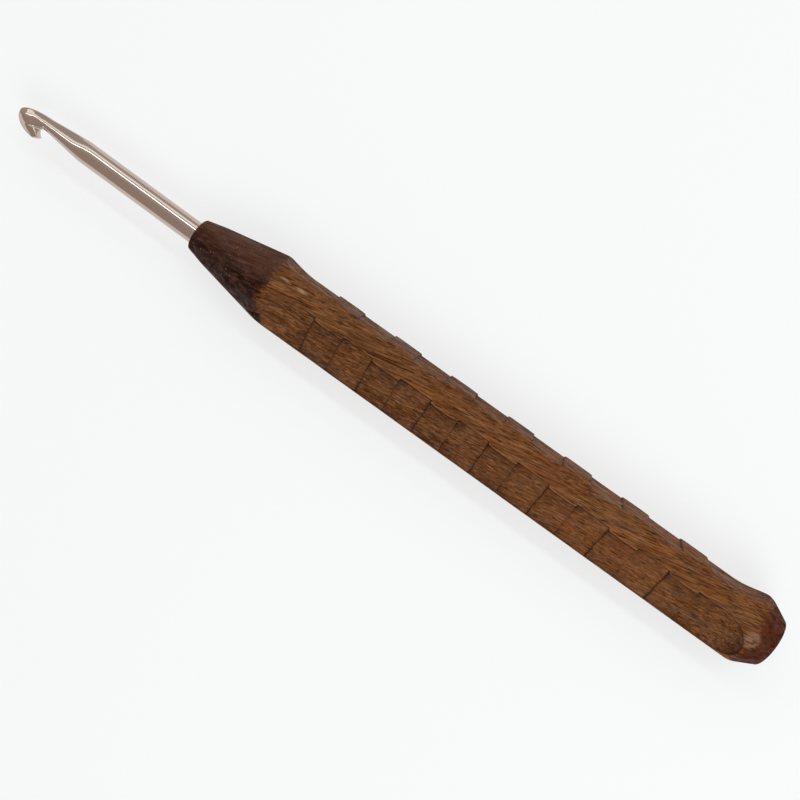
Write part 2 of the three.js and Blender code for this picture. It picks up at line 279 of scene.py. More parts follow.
def stepDrift(along, turn, band):
    # How far each point lies off the marked-out place: a straight-line drift on the first band,
    # and round each step a small slant and bend of its own, both sines of the angle, which fade
    # away from the step as a bell
    h = handle
    drift = np.zeros((len(along), len(turn)))
    if band == 0:
        late = h["firstStepDrift"] * np.clip(1 - along / h["driftReach"], 0, 1)
        drift += (late * inBands(along))[:, None]
    for index, place in enumerate(stepPlaces()[0]):
        phase = h["stepPhase"] * index + h["bandPhase"] * band
        bend = np.sin(h["bends"] * turn + h["bendPhase"] * phase)
        wander = math.sin(phase) * np.sin(turn) + h["bendShare"] * bend
        near = np.exp(-((along - place) / h["wanderReach"]) ** 2)
        drift += h["stepWander"] * wander[None] * near[:, None]
    return drift


def roundRows(lengths, sizes, drift, turn):
    # Rings of the given sizes round the axis, each shifted sideways by its drift
    lengths, sizes, drift = (np.array(values, float)[:, None] for values in (lengths, sizes, drift))
    return np.stack([np.broadcast_to(lengths, (len(sizes), len(turn))),
                     drift - sizes * np.sin(turn), sizes * np.cos(turn)], -1)


def carvedRows():
    # Around the axis, a point's radius is the smaller of the turned blank's and of a band's
    # flat, which is the flat's height over the cosine of the angle from the band's middle.
    # Sanding takes off up to its depth, by the product of two sines. The painted groove shade,
    # the painted dark rim of shade and the pale arris, which is wear with a painted highlight, are
    # bells over the distance from a step's foot or from an arris, and the painted step shade fades
    # exponentially past its step
    h = handle
    profile = blankProfile()[0]
    along = handleRows()
    blank = np.interp(along, profile[:, 0], profile[:, 1])[:, None]
    height = bandHeight(along)[:, None]
    halfSector = math.pi / h["bandCount"]
    leastArris = math.radians(h["leastArrisAngle"])
    arris = np.maximum(np.arccos(np.clip(height / blank, 0, 1)), leastArris)
    sign, inside, outside = handleColumns().T
    angle = sign * (inside * arris + outside * (halfSector - arris))
    flat = height / np.cos(angle)
    gap = blank - flat
    isCarved = gap > 0

    grooveShade, stepShade = np.zeros((2, len(along)))
    for place, way in zip(*stepPlaces()):
        foot = place - way * h["grooveOffset"] * h["grooveReach"]
        depth, share = (1, 1) if way > 0 else (h["backGrooveShade"], h["backGrooveReach"])
        bell = np.exp(-((along - foot) / (h["grooveReach"] * share)) ** 2)
        grooveShade = np.maximum(grooveShade, depth * bell)
        fade = np.exp(-np.abs(along - place) / h["stepShadeReach"])
        stepShade = np.maximum(stepShade, fade * (along > place))
    raised = np.clip((height - h["deepFlatHeight"]) / tileRise, 0, 1) * inBands(along)[:, None]
    scooped = np.clip((along - h["scoopShadeStart"]) / h["scoopShadeReach"], 0, 1)[:, None]
    stepShade = np.maximum(stepShade[:, None] * inside ** 2, h["tileShade"] * raised * inside)
    stepShade = np.maximum(stepShade, h["scoopShade"] * scooped ** 2)
    sharp = np.clip((along - h["sharpStart"]) / (h["sharpFrom"] - h["sharpStart"]), 0, 1)[:, None]
    paleArris = np.clip((h["paleArrisEnd"] - along) / (h["paleArrisEnd"] - h["paleArrisUntil"]), 0, 1)[:, None]
    nearEnds = h["grooveShadeMiddle"] + (1 - h["grooveShadeMiddle"]) * inside
    # the marks: painted shade at the steps' feet and beside them, a painted dark rim of shade, and
    # the pale arris, wear with a painted highlight
    marks = {
        "carved": np.clip(gap / h["arrisGap"], 0, 1),
        "grooveShade": grooveShade[:, None] * nearEnds * isCarved,
        "stepShade": stepShade * isCarved,
        "shadeRim": sharp * np.exp(-((gap - h["shadeRimGap"]) / h["shadeRimGap"]) ** 2) * isCarved,
        "arris": sharp * paleArris * np.exp(-((gap + h["arrisGap"] / 2) / h["arrisGap"]) ** 2),
    }
    marks = {name: np.tile(mark, (1, h["bandCount"])) for name, mark in marks.items()}
    marks["shadeRim"] = marks["shadeRim"] * np.repeat(h["shadeRimShares"], len(sign))

    firstTurn = math.radians(h["firstBandAngle"])
    turns = [firstTurn + 2 * halfSector * band + angle for band in range(h["bandCount"])]
    middleRow = angle[len(angle) // 2]
    sectors = []
    for band, turn in enumerate(turns):
        ripple = np.sin(along[:, None] * h["rippleAlong"] + h["rippleAround"] * np.sin(turn))
        swell = np.sin(along[:, None] * h["swellAlong"] + h["swellAround"] * turn)
        sanded = h["sandingDepth"] * (0.5 + 0.5 * ripple * swell)
        radius = softMin(blank, flat, h["arrisSoftness"]) - sanded
        lengths = along[:, None] + stepDrift(along, middleRow, band)
        sectors.append(np.stack([lengths, -radius * np.sin(turn), radius * np.cos(turn)], -1))
    return np.concatenate(sectors, 1), np.concatenate(turns, 1), marks


def makeHandle():
    # Rings in turn: out of the blind hole, whose drift is its offset and its slope times the
    # depth, over the nose's face and its rounded edge, along the carved rows, and over the
    # butt's edge to the middle of its face
    h = handle
    noseArc, buttArc = blankProfile()[1:]
    carved, turns, marks = carvedRows()
    slope = math.tan(math.radians(h["boreLean"]))
    depths = np.array([h["boreDepth"], h["boreDepth"], *h["boreRows"]])
    boreSizes = h["boreRadius"] + np.array([-h["boreFloorInset"], 0, 0, 0, h["boreEdge"]])
    count, (innerGap, outerGap) = h["faceRows"], h["faceGaps"]
    faceSizes = np.linspace(h["boreRadius"] + innerGap, noseArc[0][1] - outerGap, count)
    nose = np.concatenate([
        roundRows(depths, boreSizes, -h["boreOffset"] - depths * slope, turns[0]),
        roundRows(np.zeros(count), faceSizes, -h["boreOffset"] * np.linspace(1, 0, count), turns[0]),
        roundRows(noseArc[:-1, 0], noseArc[:-1, 1], np.zeros(len(noseArc) - 1), turns[0]),
    ])
    endSizes = buttArc[-1][1] * np.array(h["buttRings"])
    endLengths = np.full(len(endSizes), h["length"])
    butt = np.concatenate([
        roundRows(buttArc[1:, 0], buttArc[1:, 1], np.zeros(len(buttArc) - 1), turns[-1]),
        roundRows(endLengths, endSizes, np.zeros(len(endSizes)), turns[-1]),
    ])
    rings = np.concatenate([nose, carved, butt]) + [noseX / mm, 0, axisHeight / mm]
    bare = ((len(nose), len(butt)), (0, 0))
    marks = {name: np.pad(mark, bare) for name, mark in marks.items()}
    return ringMesh("carved_handle", rings, rings[0].mean(0), rings[-1].mean(0), marks)


# The hook: one metal rod with a curled and pressed head

hook = {
    "reach": 38.08, "shankRadius": 2.0, "tangLength": 28, "tangChamfer": 0.3,
    "throatStart": 5.55, "throatEnd": 13.3, "throatFloor": 1.11, "throatBack": 1.19,
    "throatHalfWidth": 1.7, "headHalfWidth": 1.85, "lipHalfWidth": 0.95,
    "pressedFrom": 15.5, "pressedTo": 10.5,  # from the tip, where the presses' marks come in
    "crestInset": 1.6,        # the presses left a crest this far in from the back
    "tipInset": 2.2,          # and this far in from the tip and the underside of the head
    "crestLimit": 0.62,       # at most this share of the way to the mouth
    "flankSlope": 0.88,       # rise over run of the flank outside the crest, along the throat
    "headSlope": 0.5,         # and around the head
    "crestRound": 0.55,       # the flank is straight beyond this share of its width
    "backSquareness": 16,
    "tipHeight": 0.53, "bellyHeight": 3.36, "bellyReach": 4.33, "bellyFullness": 2.14,
    "mouthDepth": 4.09, "mouthRadius": 0.17, "mouthHeight": 1.6,
    "mouthFloorSlope": 18, "mouthFloorLength": 1.8, "mouthSquareness": 8,
    "lipSlope": 44, "lipInsideLength": 1.3, "lipEnd": 5.18, "lipHeight": 2.86,
    "mouthRoll": 97,          # degrees from straight up that the mouth opens
    "floorTurn": 0.25, "tipTurn": 0.5, "lipTurn": 0.72,
    "sides": 96, "shankRows": 12, "throatRows": 60, "headRows": 170, "lipRows": 26,
    "shankOverrun": 2,        # the shank's rows start this far inside the hole
    "pressedGap": 0.2, "throatGap": 0.02,  # between the rows of one part and those of the next
    "taperOverrun": 0.9, "taperSoftness": 0.002,
}
ellipsePower = 2.0  # a superellipse of this power is an ellipse


def seatInHandle(points):
    # Turns points of the hook's own frame, where X runs into the handle and Z is the way that
    # the mouth opens, into the part's frame in millimetres: rolled about X, leant about Z and
    # moved to the mouth of the hole
    turned = (Matrix.Translation((noseX / mm, -handle["boreOffset"], axisHeight / mm))
              @ Matrix.Rotation(-math.radians(handle["boreLean"]), 4, "Z")
              @ Matrix.Rotation(math.radians(hook["mouthRoll"]), 4, "X"))
    grid = np.array(turned)
    return points @ grid[:3, :3].T + grid[:3, 3]


def headOutside(turn):
    # The back is a quarter of an ellipse up to the tip, and the underside a quarter of a
    # superellipse from there on
    k = hook
    along, across = np.sin(np.pi * turn), np.cos(np.pi * turn)
    power = 2 / k["bellyFullness"]
    isBack = turn < k["tipTurn"]
    x = np.where(isBack, k["throatStart"] * (1 - along), k["bellyReach"] * (1 - along ** power))
    rise = (k["bellyHeight"] - k["tipHeight"]) * np.abs(across) ** power
    back = (k["tipHeight"] + k["throatBack"]) * across
    return np.stack([x, k["tipHeight"] + np.where(isBack, -back, rise)], -1)


def mouthInside(turn):
    # A quadratic curve along the mouth's floor, an arc round its bottom, and a straight line
    # out along the inside of the lip
    k = hook
    centre = np.array([k["mouthDepth"] + k["mouthRadius"], k["mouthHeight"]])
    fall, slope = math.radians(k["mouthFloorSlope"]), math.radians(k["lipSlope"])
    floorAngle, lipAngle = -math.pi / 2 - fall, slope - 1.5 * math.pi
    share = np.clip((turn - k["floorTurn"]) / (k["lipTurn"] - k["floorTurn"]), 0, 1)
    angle = floorAngle + (lipAngle - floorAngle) * share
    out = k["lipInsideLength"] * np.maximum(0, (turn - k["lipTurn"]) / (1 - k["lipTurn"]))
    arc = centre + k["mouthRadius"] * np.stack([np.cos(angle), np.sin(angle)], -1)
    arc = arc + out[:, None] * [math.cos(slope), math.sin(slope)]
    throat = np.array([k["throatStart"], k["throatFloor"]])
    foot = centre + k["mouthRadius"] * np.array([math.cos(floorAngle), math.sin(floorAngle)])
    bend = foot + k["mouthFloorLength"] * np.array([math.cos(fall), -math.sin(fall)])
    s = np.clip(turn / k["floorTurn"], 0, 1)[:, None]
    floor = (1 - s) ** 2 * throat + 2 * s * (1 - s) * bend + s ** 2 * foot
    return np.where((turn < k["floorTurn"])[:, None], floor, arc)


def smoothMix(start, stop, share):
    # Goes from start to stop as the share goes from 0 to 1, level at both ends
    share = np.clip(share, 0, 1)
    return start + (stop - start) * share * share * (3 - 2 * share)


def headHalfWidth(turn):
    # A quarter wave from the throat to the tip, then a smooth step down to the lip
    k = hook
    grown = (k["headHalfWidth"] - k["throatHalfWidth"]) * np.sin(np.pi * turn)
    share = (turn - k["tipTurn"]) / (1 - k["tipTurn"])
    taper = smoothMix(k["headHalfWidth"], k["lipHalfWidth"], share)
    return np.where(turn < k["tipTurn"], k["throatHalfWidth"] + grown, taper)


def hookSections(outer, inner, halfWidth, mouthSquareness, pressed, crest, slope):
    # Rings that span from the outer to the inner point, highest along a crest at a share of the
    # span. On the side of the mouth a ring is half a superellipse. On the back it's half an
    # ellipse, mixed in so far as the rod is pressed with half a squarer one that is lowered from
    # the crest by a parabola and beyond its round by a straight line of the given slope
    k = hook
    angle = 2 * np.pi * np.arange(k["sides"]) / k["sides"]
    halfWidth, pressed, crest, slope = (
        values[:, None] for values in (halfWidth, pressed, crest, slope))
    across = np.broadcast_to(np.cos(angle), (len(outer), len(angle)))
    away = np.abs(across)
    isMouth = across > 0
    backSpan = crest * np.linalg.norm(inner - outer, axis=1)[:, None]
    turned = np.minimum(away, k["crestRound"])
    fall = slope * backSpan / halfWidth * (turned ** 2 / (2 * k["crestRound"]) + away - turned)
    flat = np.maximum(1 - away ** k["backSquareness"], 0) ** (1 / k["backSquareness"]) * (1 - fall)
    oval = np.sqrt(np.maximum(1 - away ** 2, 0))
    power = mouthSquareness[:, None]
    mouthRise = np.maximum(1 - away ** power, 0) ** (1 / power)
    rise = np.where(isMouth, mouthRise, oval + (flat - oval) * pressed)
    share = (crest + across * np.where(isMouth, 1 - crest, crest))[..., None]
    side = outer[:, None] + (inner - outer)[:, None] * share
    return np.stack([side[..., 0], -halfWidth * rise * np.sign(np.sin(angle)), side[..., 1]], -1)


def makeHook():
    # Rings in turn: the tang and shank, where back, floor and half width go from the shank's
    # radius to the throat's values along a line that starts softly, as the mean of the line and
    # the root of its square; the head; and the lip's end, on quarter ellipses from the last
    # ring to the lip's point
    k = hook
    end = k["reach"] + k["tangLength"]
    lengths = np.concatenate([
        [end, end - k["tangChamfer"]],
        np.linspace(k["reach"] + k["shankOverrun"], k["pressedFrom"] + k["pressedGap"],
                    k["shankRows"]),
        np.linspace(k["pressedFrom"], k["throatStart"] + k["throatGap"], k["throatRows"])])
    thick = np.full(len(lengths), k["shankRadius"])
    thick[0] -= k["tangChamfer"]
    line = (k["throatEnd"] - lengths) / (k["throatEnd"] - k["throatStart"])
    taper = (line + np.sqrt(line ** 2 + k["taperSoftness"])) / 2
    taper = np.where(lengths > k["throatEnd"] + k["taperOverrun"], 0, np.minimum(taper, 1))
    floor = thick + (k["throatFloor"] - k["shankRadius"]) * taper
    back = thick + (k["throatBack"] - k["shankRadius"]) * taper
    wide = thick + (k["throatHalfWidth"] - k["shankRadius"]) * taper
    pressed = smoothMix(0, 1, (k["pressedFrom"] - lengths) / (k["pressedFrom"] - k["pressedTo"]))
    crest = 0.5 + (k["crestLimit"] - 0.5) * pressed
    shank = hookSections(np.stack([lengths, -back], -1), np.stack([lengths, floor], -1), wide,
                         np.full(len(lengths), ellipsePower), pressed, crest,
                         np.full(len(lengths), k["flankSlope"]))

    turn = np.linspace(0, 1, k["headRows"])
    onFloor = turn / k["floorTurn"]
    square = ellipsePower + (k["mouthSquareness"] - ellipsePower) * np.clip(onFloor, 0, 1)
    outside, inside = headOutside(turn), mouthInside(turn)
    inset = smoothMix(k["crestInset"], k["tipInset"], turn / k["tipTurn"])
    crest = np.minimum(k["crestLimit"], inset / np.linalg.norm(inside - outside, axis=1))
    slope = smoothMix(k["flankSlope"], k["headSlope"], onFloor)
    head = hookSections(outside, inside, headHalfWidth(turn), square, np.ones(len(turn)), crest,
                        slope)

    centre = head[-1].mean(0)
    lipPoint = np.array([k["lipEnd"], 0, k["lipHeight"]])
    angle = (np.pi / 2 * np.arange(1, k["lipRows"]) / k["lipRows"])[:, None, None]
    lip = centre + (head[-1] - centre) * np.cos(angle) + (lipPoint - centre) * np.sin(angle)
    rings = np.concatenate([shank, head, lip]) - [k["reach"], 0, 0]
    ends = np.array([[end, 0, 0], lipPoint]) - [k["reach"], 0, 0]
    firstCentre, lastCentre = seatInHandle(ends)
    return ringMesh("polished_hook", seatInHandle(rings), firstCentre, lastCentre)


# The glue: a cup around the tang, with a small hollow bead around the shank

glue = {
    "clearance": 0.02, "bead": 0.2, "beadSteps": 9, "edge": 0.1, "core": 0.4, "sides": 96,
}


def makeGlue():
    # A profile turned about the tang's axis: out along the cup's inside, over a hollow quarter
    # round, and back down its outside
    inner = hook["shankRadius"] + glue["clearance"]
    outer = handle["boreRadius"] - glue["clearance"]
    floor, end = hook["tangLength"] + glue["clearance"], handle["boreDepth"] - glue["clearance"]
    edge, core = glue["edge"], glue["core"]
    bend = np.linspace(0, np.pi / 2, glue["beadSteps"])
    bead = np.stack([-glue["bead"] * (1 - np.sin(bend)),
                     inner + (outer - inner) * (1 - np.cos(bend))], -1)
    profile = np.concatenate([
        [(floor, core), (floor, inner - edge), (floor - edge, inner)], bead,
        [(edge, outer), (end - edge, outer), (end, outer - edge), (end, core)]])
    angle = 2 * np.pi * np.arange(glue["sides"]) / glue["sides"]
    rings = np.stack([np.broadcast_to(profile[:, :1], (len(profile), len(angle))),
                      profile[:, 1:] * np.sin(angle), profile[:, 1:] * np.cos(angle)], -1)
    firstCentre, lastCentre = seatInHandle(np.array([[floor, 0, 0], [end, 0, 0]]))
    return ringMesh("glue_bead", seatInHandle(rings), firstCentre, lastCentre)


pieces = [
    (makeHandle(), "handle", "walnut"),
    (makeHook(), "hook", "aluminium"),
    (makeGlue(), "glue_sleeve", "epoxy"),
]
for piece, node, slot in pieces:
    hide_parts(node)
    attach(piece, "root")
    print("made", piece.name, len(piece.data.polygons), "faces")


# Materials

def linear(code):
    # A colour written as sRGB hex, in linear light
    parts = [int(code[i:i + 2], 16) / 255 for i in (1, 3, 5)]
    return [v / 12.92 if v <= 0.04045 else ((v + 0.055) / 1.055) ** 2.4 for v in parts] + [1.0]


def addNode(tree, kind, settings=None, inputs=None, output=None):
    # Adds a node with its settings, puts a value or a link into each socket that is named or
    # numbered, and gives back one output: the named one, or else the first in use
    node = tree.nodes.new("ShaderNode" + kind)
    for name, value in (settings or {}).items():
        setattr(node, name, value)
    inUse = [socket for socket in node.inputs if socket.enabled]
    for key, value in (inputs or {}).items():
        socket = inUse[key] if isinstance(key, int) else next(s for s in inUse if s.name == key)
        if isinstance(value, bpy.types.NodeSocket):
            tree.links.new(value, socket)
        else:
            socket.default_value = value
    given = [socket for socket in node.outputs if socket.enabled]
    return next((socket for socket in given if output in (None, socket.name)), node)


def ramp(value, start, stop, low=0.0, high=1.0):
    # Inputs of a range node: low where the value is at start, high where it's at stop
    return {"Value": value, "From Min": start, "From Max": stop, "To Min": low, "To Max": high}


def newMaterial(name):
    material = bpy.data.materials.new(name)
    material.use_nodes = True
    material.node_tree.nodes.clear()
    return material, material.node_tree


walnut = {
    "grainAngle": 11,         # degrees between the grain and the handle
    "base": "#70411c",
    # The figure, coarse to fine: the grain's size in millimetres along and across, the noise's
    # detail, the values between which it comes in, how strongly on the ridges and on the flats,
    # and its colour
    "figure": [
        ((38, 5), 2, (0.38, 0.62), (0.6, 0.4), "#80491f"),
        ((22, 1.3), 3, (0.46, 0.62), (0.4, 0.5), "#522a10"),
        ((14, 0.9), 3, (0.52, 0.68), (0.3, 0.35), "#946037"),
        ((2.2, 0.3), 4, (0.48, 0.60), (0.3, 0.6), "#45200c"),
        ((2.0, 0.28), 4, (0.51, 0.62), (0.3, 0.65), "#a06c48"),
        ((34, 0.26), 2, (0.55, 0.62), (0.85, 0.6), "#3a1a08"),
        ((16, 0.28), 3, (0.52, 0.66), (0.5, 0.45), "#976136"),
        ((6, 0.2), 4, (0.50, 0.66), (0.55, 0.6), "#42200c"),
        ((11, 0.2), 2, (0.60, 0.68), (0.4, 0.15), "#a9764e"),
    ],
    "figureRoughness": 0.6,
    # Paler towards the butt, on the flats and up to their hollow ends
    "pale": "#97592f", "paleShare": 0.28, "paleFrom": 50, "paleTo": 85,
    "paleFadeFrom": 98, "paleEnd": 106,
    # The pores, as fine dark dashes: their noise's size, and the values between which they open
    "pores": [
        ((6.0, 0.26), (0.61, 0.66)),
        ((1.8, 0.22), (0.62, 0.67)),
    ],
    "poreDetail": 2, "poreShare": 0.75, "pore": "#1f0e05",
    # Noises along the grain that break up what follows: size, detail and roughness
    "noises": {
        "blotch": ((1.3, 0.6), 4, 0.65),
        "fringe": ((3.5, 0.4), 3, 0.5),
        "fibre": ((6, 0.35), 5, 0.65),
        "sheen": ((10, 1.2), 5, 0.7),
    },
    "speckSize": 0.28, "speckDetail": 2, "speckRoughness": 0.6,
    # The dark ends. Each list of two or four numbers is a range: the values between which
    # something comes in, and what it goes from and to
    "noseDarkEnd": 16.1,      # the dark end grain of the cone stops here
    "noseDarkSlant": 1.9,     # and this much further on at the side
    "slantFrom": -3.6, "slantTo": -6.3,
    "noseFade": (0.8, -0.6), "noseShare": 0.95,  # the border, from past that end to short of it
    "buttDarkStart": 113.4, "buttFade": 0.7, "buttShare": 0.9,
    "borderRagged": 1.3, "raggedIn": (0.25, 0.75),  # how far the dark runs along single fibres
    # the cone's colours: its top lighter as painted light, its lower side darker, partly end grain
    # and partly painted shade, and where each takes over
    "coneLitTop": "#4a2a1d", "coneShadedSide": "#1e0b08", "coneLitTopEnd": 2.6, "coneShadedSideStart": -1.8,
    "coneStreak": "#6a4030", "streakIn": (0.46, 0.68, 0, 0.5),
    # pale specks on the cone
    "paleSpeck": "#a08670", "paleSpeckIn": (0.66, 0.72, 0, 0.65),
    "chamfer": "#3b1006", "chamferLight": "#5b260c", "mottleIn": (0.40, 0.66, 0, 0.9),
    # Marks that the mesh carries: the noise that breaks each up, its range, and the colour
    "marks": {
        # the pale arris: wear, together with a painted highlight where the rounded edge catches the
        # light
        "arris": ("fringe", (0.40, 0.58, 0, 0.8), "#9c6a45"),
        # painted shade beside the steps, on the tiles' sides and in the butt's hollow
        "stepShade": ("blotch", (0.36, 0.56, 0.35, 1), "#37170a"),
        # a painted dark rim of shade below each arris
        "shadeRim": ("blotch", (0, 1, 0.6, 0.6), "#190a04"),
        # painted shade at the foot of each step, with some gathered finish
        "grooveShade": ("blotch", (0.38, 0.55, 0.5, 0.9), "#190a04"),
    },
    # Painted highlights, pale spots where the light catches the ridge by the shoulder and the
    # land by the butt, which is partly worn too: along the handle, aside and up from its axis,
    # the reach each way, and how strongly
    "glintSpots": [
        ((18.2, 2.2, 5.6), (1.1, 0.35, 1.5), 0.75),
        ((21.6, 2.2, 5.7), (1.2, 0.4, 1.5), 0.95),
        ((113.2, -1.4, 6.0), (1.5, 1.5, 3.0), 0.85),
    ],
    "glintColour": "#a67c60", "glintFade": (1.3, 0.3), "glintIn": (0.36, 0.60),
    "bumpDepth": 0.05, "bumpStrength": 0.8,
    "roughness": (0.35, 0.65, 0.42, 0.7),
    "gloss": (0.42, 0.58, 0.15, 1),  # the dull streaks keep a small share of it
    "ior": 1.47, "specular": 0.2,
}
smooth = {"interpolation_type": "SMOOTHSTEP"}
ofColours = {"data_type": "RGBA"}
product = {"operation": "MULTIPLY"}
ownFrame = {"vector_type": "TEXTURE"}


def alongGrain(place, size):
    # Inputs of a mapping into a frame turned to the grain, where the size in millimetres is one
    return {
        "Vector": place,
        "Rotation": (0, 0, math.radians(walnut["grainAngle"])),
        "Scale": (size[0] * mm, size[1] * mm, size[1] * mm),
    }


def makeWalnut():
    # Walnut, turned, carved, sanded and oiled: a satin brown with dark open pores along the
    # grain, almost black brown where the cone cuts across the fibres and drinks the oil, with
    # painted shade on the cone's lower side and painted light on its top
    material, tree = newMaterial("oiledWalnut")
    w = walnut
    place = addNode(tree, "TexCoord", output="Object")
    carved = addNode(tree, "Attribute", {"attribute_name": "carved"}, output="Fac")
    wood = linear(w["base"])
    for size, detail, between, (ridge, flat), colour in w["figure"]:
        grain = addNode(tree, "Mapping", ownFrame, alongGrain(place, size))
        noise = addNode(tree, "TexNoise", {}, {
            "Vector": grain, "Scale": 1.0, "Detail": detail, "Roughness": w["figureRoughness"]})
        most = addNode(tree, "MapRange", {}, ramp(carved, 0, 1, ridge, flat))
        share = addNode(tree, "MapRange", smooth, ramp(noise, *between, 0, most))
        wood = addNode(tree, "Mix", ofColours, {"Factor": share, "A": wood, "B": linear(colour)})

    along = addNode(tree, "SeparateXYZ", {}, {"Vector": place}, "X")
    along = addNode(tree, "MapRange", {"clamp": False},
                    ramp(along, noseX, noseX + 100 * mm, 0, 100))
    pale = addNode(tree, "MapRange", smooth,
                   ramp(along, w["paleFrom"], w["paleTo"], 0, w["paleShare"]))
    ending = addNode(tree, "MapRange", smooth, ramp(along, w["paleEnd"], w["paleFadeFrom"]))
    pale = addNode(tree, "Math", product, {0: pale, 1: ending})
    pale = addNode(tree, "Math", product, {0: pale, 1: carved})
    wood = addNode(tree, "Mix", ofColours, {"Factor": pale, "A": wood, "B": linear(w["pale"])})

    poreOpen = 0.0
    for size, between in w["pores"]:
        grain = addNode(tree, "Mapping", ownFrame, alongGrain(place, size))
        noise = addNode(tree, "TexNoise", {}, {
            "Vector": grain, "Scale": 1.0, "Detail": w["poreDetail"]})
        share = addNode(tree, "MapRange", {}, ramp(noise, *between))
        poreOpen = addNode(tree, "Math", {"operation": "MAXIMUM"}, {0: share, 1: poreOpen})
    shown = addNode(tree, "Math", product, {0: poreOpen, 1: w["poreShare"]})
    wood = addNode(tree, "Mix", ofColours, {"Factor": shown, "A": wood, "B": linear(w["pore"])})

    noises = {}
    for name, (size, detail, roughness) in w["noises"].items():
        grain = addNode(tree, "Mapping", ownFrame, alongGrain(place, size))
        noises[name] = addNode(tree, "TexNoise", {}, {
            "Vector": grain, "Scale": 1.0, "Detail": detail, "Roughness": roughness})
    speck = addNode(tree, "TexNoise", {}, {
        "Vector": place, "Scale": 1 / (w["speckSize"] * mm),
        "Detail": w["speckDetail"], "Roughness": w["speckRoughness"]})

    # The dark ends: their borders run out along the fibres. The cone is darkest on its lower
    # side, partly where it cuts most steeply across them and partly as painted shade, and lighter
    # on its top as painted light from above
    ragged = addNode(tree, "MapRange", {}, ramp(
        noises["blotch"], *w["raggedIn"], -w["borderRagged"], w["borderRagged"]))
    y = addNode(tree, "SeparateXYZ", {}, {"Vector": place}, "Y")
    along = addNode(tree, "Math", {"operation": "ADD"}, {0: along, 1: ragged})
    slant = addNode(tree, "MapRange", smooth, ramp(
        y, w["slantFrom"] * mm, w["slantTo"] * mm, 0, w["noseDarkSlant"]))
    fades, holds = w["noseFade"]
    inNose = addNode(tree, "Math", {"operation": "SUBTRACT"}, {0: along, 1: slant})
    inNose = addNode(tree, "MapRange", smooth, ramp(
        inNose, w["noseDarkEnd"] + fades, w["noseDarkEnd"] + holds, 0, w["noseShare"]))
    inButt = addNode(tree, "MapRange", smooth, ramp(
        along, w["buttDarkStart"] - w["buttFade"], w["buttDarkStart"] + w["buttFade"],
        0, w["buttShare"]))
    shadedShare = addNode(tree, "MapRange", smooth, ramp(y, w["coneLitTopEnd"] * mm, w["coneShadedSideStart"] * mm))
    cone = addNode(tree, "Mix", ofColours, {
        "Factor": shadedShare, "A": linear(w["coneLitTop"]), "B": linear(w["coneShadedSide"])})
    streak = addNode(tree, "MapRange", {}, ramp(noises["fringe"], *w["streakIn"]))
    cone = addNode(tree, "Mix", ofColours, {
        "Factor": streak, "A": cone, "B": linear(w["coneStreak"])})
    paleSpeck = addNode(tree, "MapRange", {}, ramp(speck, *w["paleSpeckIn"]))
    cone = addNode(tree, "Mix", ofColours, {"Factor": paleSpeck, "A": cone, "B": linear(w["paleSpeck"])})
    mottled = addNode(tree, "MapRange", {}, ramp(noises["blotch"], *w["mottleIn"]))
    chamfer = addNode(tree, "Mix", ofColours, {
        "Factor": mottled, "A": linear(w["chamfer"]), "B": linear(w["chamferLight"])})
    wood = addNode(tree, "Mix", ofColours, {"Factor": inButt, "A": wood, "B": chamfer})
    wood = addNode(tree, "Mix", ofColours, {"Factor": inNose, "A": wood, "B": cone})

    # Pale wear with a painted highlight at the arrises, painted shade and a painted dark rim at the
    # carving, and painted highlights at the listed places
    for label, (noise, comesIn, colour) in w["marks"].items():
        broken = addNode(tree, "MapRange", {}, ramp(noises[noise], *comesIn))
        mark = addNode(tree, "Attribute", {"attribute_name": label}, output="Fac")
        share = addNode(tree, "Math", product, {0: mark, 1: broken})
        wood = addNode(tree, "Mix", ofColours, {"Factor": share, "A": wood, "B": linear(colour)})
    thin = addNode(tree, "MapRange", {}, ramp(noises["fringe"], *w["glintIn"]))
    for (forward, aside, up), size, most in w["glintSpots"]:
        nearby = addNode(tree, "Mapping", ownFrame, {
            "Vector": place,
            "Location": (noseX + forward * mm, aside * mm, axisHeight + up * mm),
            "Scale": tuple(reach * mm for reach in size)})
        off = addNode(tree, "VectorMath", {"operation": "LENGTH"}, {"Vector": nearby})
        off = addNode(tree, "MapRange", smooth, ramp(off, *w["glintFade"], 0, most))
        share = addNode(tree, "Math", product, {0: off, 1: thin})
        wood = addNode(tree, "Mix", ofColours, {
            "Factor": share, "A": wood, "B": linear(w["glintColour"])})

    relief = addNode(tree, "Math", {"operation": "SUBTRACT"}, {0: noises["fibre"], 1: poreOpen})
    bump = addNode(tree, "Bump", {}, {
        "Height": relief, "Strength": w["bumpStrength"], "Distance": w["bumpDepth"] * mm})
    rough = addNode(tree, "MapRange", {}, ramp(noises["fibre"], *w["roughness"]))
    gloss = addNode(tree, "MapRange", {}, ramp(noises["sheen"], *w["gloss"]))
    dull = addNode(tree, "BsdfDiffuse", {}, {"Color": wood, "Normal": bump})
    satin = addNode(tree, "BsdfPrincipled", {}, {
        "Base Color": wood, "Roughness": rough, "Normal": bump,
        "IOR": w["ior"], "Specular IOR Level": w["specular"]})
    shader = addNode(tree, "MixShader", {}, {0: gloss, 1: dull, 2: satin})
    addNode(tree, "OutputMaterial", {}, {"Surface": shader})
    return material


metal = {
    "colour": "#c4b1a6",
    "lineLength": 4, "lineWidth": 0.12,   # the polishing lines, drawn coarser so that they show
    "lineDetail": 3, "lineRoughness": 0.6,
    "roughness": (0.3, 0.7, 0.07, 0.12),  # as a range of the lines' noise
    "bumpDepth": 0.01, "bumpStrength": 0.15,
}


